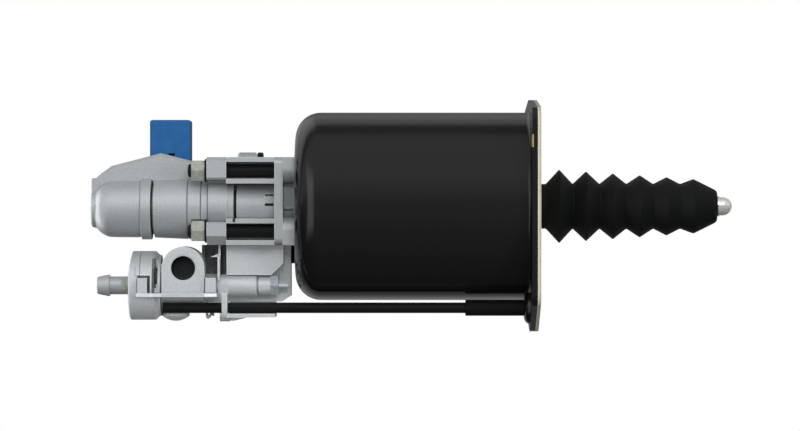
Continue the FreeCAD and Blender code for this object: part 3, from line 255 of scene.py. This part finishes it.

# Boxes (lows, highs, share) in mm where light or shade is painted on the castings: painted
# shade in grooves, joints, gaps, pockets and slots, a painted highlight on the ledge ends,
# and a soft painted shade in two recesses.
painted_shade_lines = [
    # the groove between the valve cap and the air port's boss
    ((-228.9, -40, -36.0), (-226.7, -19, -31.0), 0.75),
    ((-228.7, -40, -48.5), (-226.2, -19, -36.0), 0.9),
    ((-228.7, -40, -51.3), (-227.2, -19, -48.5), 0.85),
    # the pocket behind the boss and the post
    ((-201.4, -3, -40.6), (-190.4, 12, -20), 0.85),
    ((-190.2, -12, -44), (-185.5, 12, -20), 0.8),
    # round the lug on the valve cap
    ((-231.4, -40, -51.2), (-230.0, -24, -41.4), 0.9),
    ((-237.1, -40, -42.4), (-230.0, -24, -41.5), 0.8),
    ((-237.7, -40, -51.2), (-237.1, -24, -42.0), 0.8),
    # round the lug to the right of the boss
    ((-197.6, -36, -51.3), (-196.9, -28, -41.4), 0.85),
    ((-190.6, -36, -51.3), (-189.9, -20, -41.4), 0.7),
    ((-197.6, -36, -51.35), (-190.0, -30, -50.9), 0.6),
    # the dome's groove, and the joints at both ends of its neck
    ((-230.6, -30, -22), (-229.7, 0, 15.6), 1.0),
    ((-181.2, -30, -9.5), (-179.5, -8, 12.6), 1.0),
    ((-197.0, -19.2, -12), (-196.3, 0, 14), 0.8),
    # the parting line of the valve cap
    ((-236.3, -40, -41.2), (-235.8, -14, -26), 0.7),
    ((-239.0, -40, -41.2), (-238.6, -14, -36), 0.6),
    ((-238.6, -40, -41.35), (-236.3, -24, -40.9), 0.6),
    # two short slots in the body's hub
    ((-162.6, -30, 6.2), (-157.4, -10, 7.2), 0.8),
    ((-162.6, -30, 0.1), (-157.4, -10, 1.8), 0.95),
]
painted_highlight_ledge_ends = [
    ((-237.6, -36, -53.3), (-222.6, -33.6, -51.6), 0.4),
    ((-197.6, -36, -53.3), (-190.4, -33.6, -51.6), 0.9),
]
soft_painted_shades = [
    ((-198.3, -40, -8.5), (-185.5, 0, -3.5), 0.3),
    ((-152.2, -40, -1.0), (-145.5, 0, 21.5), 0.45),
]
# Painted shade, painted highlight and soft painted shade laid over the castings' colour.
mix_in(cast_metal, cast_shader, "24282b", painted_shade_lines)
mix_in(cast_metal, cast_shader, "dfe3e6", painted_highlight_ledge_ends)
mix_in(cast_metal, cast_shader, "5f6467", soft_painted_shades, soft_mm=1.5)

bright_pieces = [push_rod]
for casting, edge in (("hydraulic_body", 0.35), ("rear_dome", 0.35), ("relay_valve_body", 0.35),
                      ("valve_cap", 0.35), ("exhaust_flap", 0.2)):
    bright_pieces.append(rounded_copy(casting, cast_metal, edge))


def grid_mesh(name, verts, close_rows=False, close_columns=True):
    """Mesh of a grid of points; quad (i, j) joins rows i, i + 1 and columns j, j + 1."""
    rows, columns = verts.shape[:2]
    i = np.arange(rows if close_rows else rows - 1)[:, None]
    j = np.arange(columns if close_columns else columns - 1)[None, :]
    following = (i + 1) % rows, (j + 1) % columns
    quads = np.stack([i * columns + j, following[0] * columns + j,
                      following[0] * columns + following[1], i * columns + following[1]], axis=2)
    mesh = bpy.data.meshes.new(name)
    mesh.from_pydata(verts.reshape(-1, 3), [], quads.reshape(-1, 4))
    mesh.polygons.foreach_set("use_smooth", np.ones(len(mesh.polygons), bool))
    return mesh


def revolved(name, profile, turn_steps, centre=(0.0, 0.0)):
    """Profile (x, r) in mm turned about X: (x, y0 + r cos a, z0 + r sin a), closed in itself."""
    angle = np.linspace(0, 2 * math.pi, turn_steps, endpoint=False)
    x, r = (np.asarray(profile).T[:, :, None] / 1000)
    verts = np.stack(np.broadcast_arrays(x, centre[0] / 1000 + r * np.cos(angle),
                                         centre[1] / 1000 + r * np.sin(angle)), axis=2)
    return grid_mesh(name, verts, close_rows=True)


def add_piece(name, mesh, material, body=None):
    """Object of a mesh, with its material and the body that it rides on."""
    piece = bpy.data.objects.new(name, mesh)
    mesh.materials.append(material)
    bpy.context.scene.collection.objects.link(piece)
    if body:
        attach(piece, body)
    return piece


# The dome's end is fettled smooth, so its waist and shoulder are one soft curve over
# the rough casting.
dome_axis = (0.0, -1.2)
dome_line = np.array([(-266.5, 9.0), (-266.6, 10.6), (-266.2, 11.3), (-265.4, 11.55),
                      (-264.5, 11.7), (-263.6, 12.2), (-262.3, 13.6), (-260.8, 14.95),
                      (-258.7, 16.2), (-256.7, 16.95), (-254.6, 17.2), (-250.0, 17.3),
                      (-244.0, 17.35), (-239.0, 17.4), (-238.2, 17.45)])


def smooth_line(points, steps):
    """Catmull-Rom curve through the points, steps to each span."""
    padded = np.vstack([2 * points[:1] - points[1:2], points, 2 * points[-1:] - points[-2:-1]])
    t = np.linspace(0, 1, steps, endpoint=False)[None, :, None]
    p = [padded[i:len(padded) - 3 + i, None, :] for i in range(4)]
    curve = 0.5 * (2 * p[1] + (p[2] - p[0]) * t + (2 * p[0] - 5 * p[1] + 4 * p[2] - p[3]) * t ** 2
                   + (3 * p[1] - p[0] - 3 * p[2] + p[3]) * t ** 3)
    return np.vstack([curve.reshape(-1, 2), points[-1:]])


dome_outer = smooth_line(dome_line, 6)
dome_inner = [(-238.2, 16.0), (-266.0, 9.0)]
dome_skin = revolved("rear_dome_end", np.vstack([dome_outer, dome_inner]), 160, dome_axis)
bright_pieces.append(add_piece("rear_dome_end", dome_skin, cast_metal,
                               "housing"))


# Studs, nuts and washers
# Blackened steel studs with zinc-plated nuts on spring washers. Plating dulls the nuts to a
# warm grey and the studs keep an oily black.

nut_plate, nut_shader = finish_named("zinc plated nut", "b6b9af", 0.5, 0.42)
add_tint(nut_plate, nut_shader, ("adb0a5", "bec1b7"), 2.5)
black_steel, steel_shader = finish_named("blackened steel", "161617", 0.4, 0.4)
add_bump(black_steel, steel_shader, 0.8, 0.01)
rounded_copy("stud_nuts", nut_plate, 0.25)
rounded_copy("body_studs", black_steel, 0.1)
rounded_copy("stud_washers", black_steel, 0.1)


# Bellows
# Moulded black rubber boot with six V folds between the guide bush and the rod. Rubber is
# matt with a faint bloom, and its crests and valleys are rounded only a little.

def softened(points, radii, steps=5):
    """Profile with its corners rounded: B(t) = (1-t)^2 P0 + 2t(1-t) P1 + t^2 P2 round each."""
    points = np.array(points, float)
    radii = np.array(radii, float)[1:-1, None]
    back, corner, ahead = points[:-2], points[1:-1], points[2:]
    length = [np.linalg.norm(side - corner, axis=1, keepdims=True) for side in (back, ahead)]
    first = corner + (back - corner) / length[0] * np.minimum(radii, length[0] * 0.49)
    last = corner + (ahead - corner) / length[1] * np.minimum(radii, length[1] * 0.49)
    t = np.linspace(0, 1, steps)[None, :, None]
    arcs = ((1 - t) ** 2 * first[:, None] + 2 * t * (1 - t) * corner[:, None]
            + t ** 2 * last[:, None])
    return np.vstack([points[:1], arcs.reshape(-1, 2), points[-1:]])


soft_rubber, rubber_shader = finish_named("moulded black rubber", "0a0b0c", 0.0, 0.62,
                                           Specular_IOR_Level=0.3)
add_bump(soft_rubber, rubber_shader, 1.2, 0.012)
collar_reach, collar_radius, fold_pitch, folds = 5.3, 13.4, 16.1, 6
first_peak, last_peak, boot_length, boot_end_radius, end_chamfer = 22.1, 16.4, 107.7, 10.0, 1.0
rubber_wall, rod_hold, bush_hold, rod_hold_reach = 1.5, 5.6, 10.6, 6.0
fold_x = collar_reach + fold_pitch * (np.arange(2 * folds - 1) + 1) / 2
fold_r = np.full(2 * folds - 1, collar_radius)
fold_r[::2] = np.linspace(first_peak, last_peak, folds)
zigzag = [(0.0, collar_radius), (collar_reach, collar_radius), *zip(fold_x, fold_r),
          (boot_length - end_chamfer, boot_end_radius),
          (boot_length, boot_end_radius - end_chamfer)]
crest_round, valley_round, last_round = 0.6, 0.8, 1.0
rounding = [0, valley_round, *[crest_round, valley_round] * (folds - 1), last_round,
            valley_round, 0]
outer = softened(zigzag, rounding)
inner_line = np.array(zigzag[2:-2]) - (0, rubber_wall * math.sqrt(2))
inner = np.vstack([[(boot_length, rod_hold), (boot_length - rod_hold_reach, rod_hold)],
                   inner_line[::-1], [(collar_reach, bush_hold), (0.0, bush_hold)]])
bellows = add_piece("bellows_moulded", revolved("bellows", np.vstack([outer, inner]), 128),
                    soft_rubber)
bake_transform(bellows)
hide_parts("bellows")


# Springs
# Round oil-tempered wire wound open: the return spring in the can and two small ones in the
# relay valve. Each is pressed between the pieces that it stands on.

oiled_spring, spring_shader = finish_named("oil-tempered spring wire", "4b4c4e", 0.7, 0.38)
add_tint(oiled_spring, spring_shader, ("424345", "55565a"), 3.0)
add_bump(oiled_spring, spring_shader, 0.6, 0.004)


def wound_spring(node, ends, radius, wire, turns, axis=(0.0, 0.0)):
    """Helix (x0 + L s, R cos 2 pi n s, R sin 2 pi n s) of a round wire, closed at its ends."""
    s = np.linspace(0, 1, int(turns * 48) + 1)[:, None]
    turn = 2 * math.pi * turns * s
    u = np.linspace(0, 2 * math.pi, 14, endpoint=False)[None, :]
    full = wire * np.sqrt(np.clip(1 - np.abs(2 * s - 1) ** 200, 0, 1))
    r = radius + full * np.cos(u)
    x = ends[0] + wire + (ends[1] - ends[0] - 2 * wire) * s + full * np.sin(u)
    verts = np.stack([x, axis[0] + r * np.cos(turn), axis[1] + r * np.sin(turn)], axis=2) / 1000
    piece = add_piece(f"{node}_wound", grid_mesh(node, verts), oiled_spring)
    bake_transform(piece)
    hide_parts(node)


valve_axis = (-10.0, -47.2)
wound_spring("return_spring", (-125.9, -1.0), 33.0, 2.0, 6.0)
wound_spring("control_spring", (-225.0, -216.0), 7.0, 0.6, 3.5, valve_axis)
wound_spring("inlet_spring", (-238.8, -232.4), 6.0, 0.5, 3.0, valve_axis)


# Air port lining
# Tapped bore of the air port and the mouth of the passage at its bottom. It is painted nearly
# black as shade in the deep bore, and only the turns nearest the mouth catch some light.

def threaded_bore(name, centre, y_mouth, y_floor, radius, pitch, depth, turn_steps=96):
    """Bore along Y: r = R - d |2 frac(y/p - a/2pi) - 1|, then a shallow cone to the middle."""
    y = np.linspace(y_mouth, y_floor, int((y_floor - y_mouth) / pitch * 8))[:, None]
    angle = np.linspace(0, 2 * math.pi, turn_steps, endpoint=False)[None, :]
    wall = radius - depth * np.abs(2 * np.mod(y / pitch - angle / (2 * math.pi), 1.0) - 1)
    floor = np.linspace(1, 0.02, 7)[1:, None] * (radius - depth) * np.ones_like(angle)
    y_all = np.vstack([y * np.ones_like(angle), y_floor + 0.1 * (1 - floor / radius)])
    r_all = np.vstack([wall, floor])
    verts = np.stack([centre[0] + r_all * np.cos(angle), y_all,
                      centre[1] + r_all * np.sin(angle)], axis=2) / 1000
    return grid_mesh(name, verts)


# Near-black colour as painted shade in the bore.
bore_shade_lining, bore_shade_shader = finish_named("cast thread painted near black as shade", "0f1314", 0.1, 0.45)
add_bump(bore_shade_lining, bore_shade_shader, 0.4, 0.02, 3.0)
port_bore = threaded_bore("air_port_thread", (-210.3, -36.6), y_mouth=-28.9, y_floor=-20.25,
                          radius=7.12, pitch=1.5, depth=0.55)
bright_pieces.append(add_piece("air_port_thread", port_bore, bore_shade_lining,
                               "housing"))


# Small rubber, plastic and steel pieces
# A moulded blue transit cap, rubber caps and sleeves, a black painted tube, and small turned
# screws and nipples, zinc-plated. Each has its edges barely broken, as its process leaves them.

blue_plastic, blue_shader = finish_named("blue polypropylene", "1c5289", 0.0, 0.5)
add_tint(blue_plastic, blue_shader, ("1d5389", "21598f"), 5.0)
add_bump(blue_plastic, blue_shader, 0.7, 0.006)
rounded_copy("port_cap", blue_plastic, 0.2)
for node, edge in (("bleed_cap", 0.2), ("transfer_seal", 0.2), ("tube_sleeve", 0.3)):
    rounded_copy(node, soft_rubber, edge)
rounded_copy("breather_tube", black_steel, 0.1)
bright_pieces.append(rounded_copy("hose_barb", cast_metal, 0.2))
for node in ("bleed_screw", "port_nipple", "breather_nozzle"):
    rounded_copy(node, nut_plate, 0.2)
blue_zinc, zinc_shader = finish_named("blue passivated zinc plate", "b4bcc6", 0.5, 0.36)
add_tint(blue_zinc, zinc_shader, ("a9b2bd", "c2c9d2"), 1.5)
bright_pin, pin_shader = finish_named("bright turned steel", "e6e9ec", 0.4, 0.3)
add_bump(bright_pin, pin_shader, 0.3, 0.003)
rounded_copy("end_screw", blue_zinc, 0.25)
rounded_copy("end_pin", bright_pin, 0.1)


def soft_block(name, centre, half, power, u_steps=28, v_steps=14):
    """Superellipsoid |x/a|^p + |y/b|^p + |z/c|^p = 1 about a centre."""
    u = np.linspace(0, 2 * math.pi, u_steps, endpoint=False)[None, :]
    v = np.linspace(-math.pi / 2, math.pi / 2, v_steps)[:, None]
    ray = np.stack(np.broadcast_arrays(np.cos(v) * np.cos(u), np.cos(v) * np.sin(u), np.sin(v)),
                   axis=2)
    reach = (np.abs(ray) ** power).sum(axis=2, keepdims=True) ** (-1 / power)
    return grid_mesh(name, (np.array(centre) + ray * reach * np.array(half)) / 1000)


pull_tab = soft_block("cap_tab", centre=(-219.8, 9.9, 31.3), half=(2.1, 0.7, 0.8), power=5)
add_piece("cap_tab", pull_tab, soft_rubber, "housing")


# Sealant on the hose barb
# A smear of thread sealant left on the barb's stub, greenish cream and matt. It was wiped on by
# hand, so its rim is uneven.

def smear(name, axis, xs, angles, radius, thickness):
    """Patch on a cylinder along X: r = R + t (1 - u^2)(1 - v^2) w, with a wavy rim w(u, v)."""
    u = np.linspace(-1, 1, 31)[:, None]
    v = np.linspace(-1, 1, 41)[None, :]
    wave = 1 + 0.25 * np.sin(7 * v + 1) * u + 0.2 * np.sin(9 * u) * v
    rim = np.clip((1 - u ** 2) * (1 - v ** 2) * wave * 2.5, 0, 1)
    r = radius - 0.05 + thickness * rim
    x = np.mean(xs) + u * (xs[1] - xs[0]) / 2 * (1 + 0.12 * np.sin(6 * v))
    angle = np.radians(np.mean(angles) + v * (angles[1] - angles[0]) / 2)
    verts = np.stack(np.broadcast_arrays(x, axis[0] - r * np.cos(angle),
                                         axis[1] + r * np.sin(angle)), axis=2) / 1000
    return grid_mesh(name, verts, close_columns=False)


sealant, sealant_shader = finish_named("thread sealant", "a8ab94", 0.0, 0.7)
add_tint(sealant, sealant_shader, ("9a9e8f", "a7ab99"), 0.6)
barb_smear = smear("barb_sealant", valve_axis, xs=(-248.0, -245.1), angles=(-40, 44),
                   radius=5.35, thickness=0.3)
add_piece("barb_sealant", barb_smear, sealant, "housing")


# Tube clip
# A bent strip of spring steel that stands behind the tube and hooks up under it. It is cut and
# bent cold, so it keeps a dull mill finish.

def bent_strip(name, path, y, half_width, half_depth, turn_steps=24):
    """Oval section (a cos u, b sin u) carried along a path (x, z); a shrinks to 0 at the ends."""
    line = smooth_line(np.array(path, float), 6)
    along = np.gradient(line, axis=0)
    side = np.stack([-along[:, 1], along[:, 0]], axis=1)
    side /= np.linalg.norm(side, axis=1, keepdims=True)
    s = np.linspace(-1, 1, len(line))[:, None]
    full = np.sqrt(np.clip(1 - s ** 16, 0, 1))
    u = np.linspace(0, 2 * math.pi, turn_steps, endpoint=False)[None, :]
    x = line[:, :1] + side[:, :1] * half_width * full * np.cos(u)
    z = line[:, 1:] + side[:, 1:] * half_width * full * np.cos(u)
    verts = np.stack([x, y + half_depth * full * np.sin(u), z], axis=2) / 1000
    return grid_mesh(name, verts)


spring_strip, strip_shader = finish_named("cold-rolled spring steel", "a3a7a6", 0.6, 0.42)
add_tint(spring_strip, strip_shader, ("989c9b", "aeb2b1"), 1.0)
clip_path = [(-196.8, -54.5), (-196.8, -60.0), (-196.8, -65.2), (-196.2, -66.2),
             (-195.3, -65.4), (-194.5, -64.2), (-193.5, -64.0), (-192.9, -65.4)]
clip_strip = bent_strip("tube_clip", clip_path, y=-16.1, half_width=0.8, half_depth=0.7)
bright_pieces.append(add_piece("tube_clip", clip_strip, spring_strip, "housing"))


# Pieces inside
# Pistons, cups, rings, springs and valves keep the forms that they have, and show only when the
# part is opened. Each takes the finish of its own kind: turned, moulded, wound or sintered.

bronze, bronze_shader = finish_named("sintered bearing bronze", "a9783f", 0.8, 0.42)
add_tint(bronze, bronze_shader, ("9a6c38", "b58449"), 1.2)
add_bump(bronze, bronze_shader, 0.3, 0.01)
brass, brass_shader = finish_named("turned free-cutting brass", "c6a452", 0.85, 0.3)
add_tint(brass, brass_shader, ("bd9b4b", "cdab5a"), 2.0)
ptfe, ptfe_shader = finish_named("skived filled PTFE", "d9d7cd", 0.0, 0.55)
add_tint(ptfe, ptfe_shader, ("cfccc1", "e0ded5"), 1.5)
ground_steel, ground_shader = finish_named("ground steel", "b9bcbe", 0.85, 0.28)
add_bump(ground_steel, ground_shader, 0.25, 0.003)
add_tint(ground_steel, ground_shader, ("b2b5b7", "c0c3c5"), 2.5)
for material, pieces in (
        (bronze, ("rod_guide_bush", "plunger_guide")), (brass, ("valve_seat_ring",)),
        (ptfe, ("piston_guide_band",)), (ground_steel, ("hydraulic_plunger",)),
        (cast_metal, ("power_piston", "control_piston")), (black_steel, ("valve_screws",)),
        (soft_rubber, ("piston_cup", "plunger_cup", "plunger_seal", "control_ring",
                       "control_cup", "inlet_valve")),
        (oiled_spring, ("dome_ring",))):
    for node in pieces:
        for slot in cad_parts[node].material_slots:
            slot.link = "OBJECT"
            slot.material = material


# Floor and backdrop
# A pale floor well under the part. The camera sees it white, and it throws no light back, as
# on a table that is cut out of the picture.

floor_drop = 0.17
floor_reach = 12.0
grid = np.array([[-1, -1], [1, -1], [1, 1], [-1, 1]]) * floor_reach
floor_mesh = bpy.data.meshes.new("floor")
floor_mesh.from_pydata([(x, y, -floor_drop) for x, y in grid.tolist()], [], [(0, 1, 2, 3)])
floor = bpy.data.objects.new("floor", floor_mesh)
bpy.context.scene.collection.objects.link(floor)
floor_paint = finish_named("pale floor", "f4f4f4", 0.0, 0.9)[0]
glow = add_node(floor_paint, "ShaderNodeEmission", {"Color": (1, 1, 1, 1), "Strength": 1.0})
floor_paint.node_tree.links.new(glow.outputs["Emission"],
                                floor_paint.node_tree.nodes["Material Output"].inputs["Surface"])
floor_mesh.materials.append(floor_paint)
floor.visible_diffuse = False
floor.visible_glossy = False
floor.visible_shadow = False


# Light and camera
# A studio that is bright above and dim below, and glossy pieces mirror a dark room with two pale
# bands. The castings and the rod have a lamp above them, one behind and a fill of their own, as
# if cards stood close to them, and the relay valve has one more from below.

world = bpy.data.worlds.new("studio")
bpy.context.scene.world = world
world.use_nodes = True
room = world.node_tree.nodes["Background"]


def band_light(stops):
    """Grey level by angle about the part's long axis, in degrees up from the camera."""
    place = add_node(world, "ShaderNodeTexCoord")
    parts = add_node(world, "ShaderNodeSeparateXYZ", {}, {"Vector": place.outputs["Generated"]})
    front = add_node(world, "ShaderNodeMath", {"operation": "MULTIPLY", 1: -1.0},
                     {0: parts.outputs["Y"]})
    angle = add_node(world, "ShaderNodeMath", {"operation": "ARCTAN2"},
                     {0: parts.outputs["Z"], 1: front.outputs["Value"]})
    share = add_node(world, "ShaderNodeMapRange", {"From Min": -math.pi, "From Max": math.pi},
                     {"Value": angle.outputs["Value"]})
    ramp = add_node(world, "ShaderNodeValToRGB", {}, {"Fac": share.outputs["Result"]})
    ramp.color_ramp.interpolation = "EASE"
    while len(ramp.color_ramp.elements) < len(stops):
        ramp.color_ramp.elements.new(0.5)
    for element, (degrees, level) in zip(ramp.color_ramp.elements, stops):
        element.position = (degrees + 180) / 360
        element.color = (level, level, level * 1.02, 1)
    return ramp.outputs["Color"]


def add_panel(colour, level, edges):
    """Adds a soft-edged pale panel. Edges give an axis and where the panel fades in or out."""
    place = add_node(world, "ShaderNodeTexCoord")
    parts = add_node(world, "ShaderNodeSeparateXYZ", {}, {"Vector": place.outputs["Generated"]})
    share = None
    for axis, dark, bright in edges:
        fade = add_node(world, "ShaderNodeMapRange",
                        {"interpolation_type": "SMOOTHSTEP", "From Min": dark,
                         "From Max": bright}, {"Value": parts.outputs[axis]})
        if share is None:
            share = fade.outputs["Result"]
        else:
            share = add_node(world, "ShaderNodeMath", {"operation": "MULTIPLY"},
                             {0: share, 1: fade.outputs["Result"]}).outputs["Value"]
    glow = add_node(world, "ShaderNodeMath", {"operation": "MULTIPLY", 1: level}, {0: share})
    panel = add_node(world, "ShaderNodeMix", {"data_type": "RGBA", "blend_type": "ADD", 0: 1.0})
    world.node_tree.links.new(colour, panel.inputs[6])
    world.node_tree.links.new(glow.outputs["Value"], panel.inputs[7])
    return panel.outputs[2]


def choose(flag, otherwise, chosen):
    """Colour that is the chosen one where the ray flag is set."""
    mix = add_node(world, "ShaderNodeMix", {"data_type": "RGBA"}, {"Factor": flag})
    for socket, colour in ((6, otherwise), (7, chosen)):
        if isinstance(colour, tuple):
            mix.inputs[socket].default_value = colour
        else:
            world.node_tree.links.new(colour, mix.inputs[socket])
    return mix.outputs[2]


sight = add_node(world, "ShaderNodeLightPath")
soft_room = band_light([(-180, 0.2), (-110, 0.26), (-60, 0.3), (-15, 0.32), (20, 0.34),
                        (60, 0.3), (100, 0.2), (180, 0.12)])
mirrored = band_light([(-180, 0.15), (-155, 0.38), (-135, 0.2), (-112, 0.03), (-75, 0.05),
                       (-40, 0.08), (0, 0.17), (44, 0.46), (76, 0.46), (92, 0.38), (105, 0.14),
                       (114, 0.14), (124, 0.48), (138, 0.48), (160, 0.2), (180, 0.15)])
mirrored = add_panel(mirrored, 1.0, [("X", -0.32, -0.52), ("X", -0.86, -0.74), ("Y", -0.1, -0.3),
                                     ("Z", -0.62, -0.3), ("Z", 0.75, 0.4)])
mirrored = add_panel(mirrored, 0.3, [("X", -0.1, -0.35), ("Y", 0.2, 0.5), ("Z", -0.4, 0.0)])
lit = choose(sight.outputs["Is Glossy Ray"], soft_room, mirrored)
seen = choose(sight.outputs["Is Camera Ray"], lit, (1, 1, 1, 1))
world.node_tree.links.new(seen, room.inputs["Color"])


def softbox(name, place, target, size, power, mirrored=False, shadow=True):
    """Rectangular lamp at a place, turned towards the target."""
    lamp = bpy.data.lights.new(name, "AREA")
    lamp.shape = "RECTANGLE"
    lamp.size, lamp.size_y = size
    lamp.energy = power
    lamp.use_shadow = shadow
    holder = bpy.data.objects.new(name, lamp)
    bpy.context.scene.collection.objects.link(holder)
    heading = np.subtract(target, place)
    yaw = math.atan2(heading[0], heading[1])
    pitch = math.atan2(math.hypot(heading[0], heading[1]), -heading[2])
    holder.location = place
    holder.rotation_euler = (pitch, 0, -yaw)
    holder.visible_glossy = mirrored
    return holder


centre = (-0.08, 0.0, 0.0)
softbox("front softbox", (0.1, -1.8, 0.62), centre, (1.0, 0.6), 28)
rear_lamp = softbox("rear softbox", (-1.5, 0.35, -0.1), (-0.22, 0.0, 0.0), (0.6, 1.8), 18,
                    mirrored=True)
softbox("right softbox", (1.1, -1.3, 0.2), (0.05, 0.0, 0.0), (0.5, 0.5), 12)
metal_lamp = softbox("metal softbox", (-0.3, -1.5, 1.15), centre, (2.4, 1.4), 10, mirrored=True)
fill_lamp = softbox("fill softbox", (-0.3, -1.7, 0.8), centre, (1.4, 0.9), 5.5, shadow=False)
low_lamp = softbox("low softbox", (-0.2, -1.2, -1.1), (-0.2, 0.0, -0.05), (1.0, 0.6), 12,
                   shadow=False)
bright = bpy.data.collections.new("bright metal")
low = bpy.data.collections.new("valve metal")
for piece in bright_pieces:
    bright.objects.link(piece)
    if piece.name.startswith(("relay_valve_body", "valve_cap", "exhaust_flap")):
        low.objects.link(piece)
low_lamp.light_linking.receiver_collection = low
for lamp in (metal_lamp, fill_lamp, rear_lamp):
    lamp.light_linking.receiver_collection = bright

view_x, view_distance, view_z = -0.0821, 1.92, -0.0055
view = bpy.data.cameras.new("view")
view.lens = 144
view.sensor_width = 36
view.clip_end = 50
camera = bpy.data.objects.new("view", view)
bpy.context.scene.collection.objects.link(camera)
camera.location = (view_x, -view_distance, view_z)
camera.rotation_euler = (math.radians(90), 0, 0)
bpy.context.scene.camera = camera
bpy.context.scene.view_settings.view_transform = "Standard"
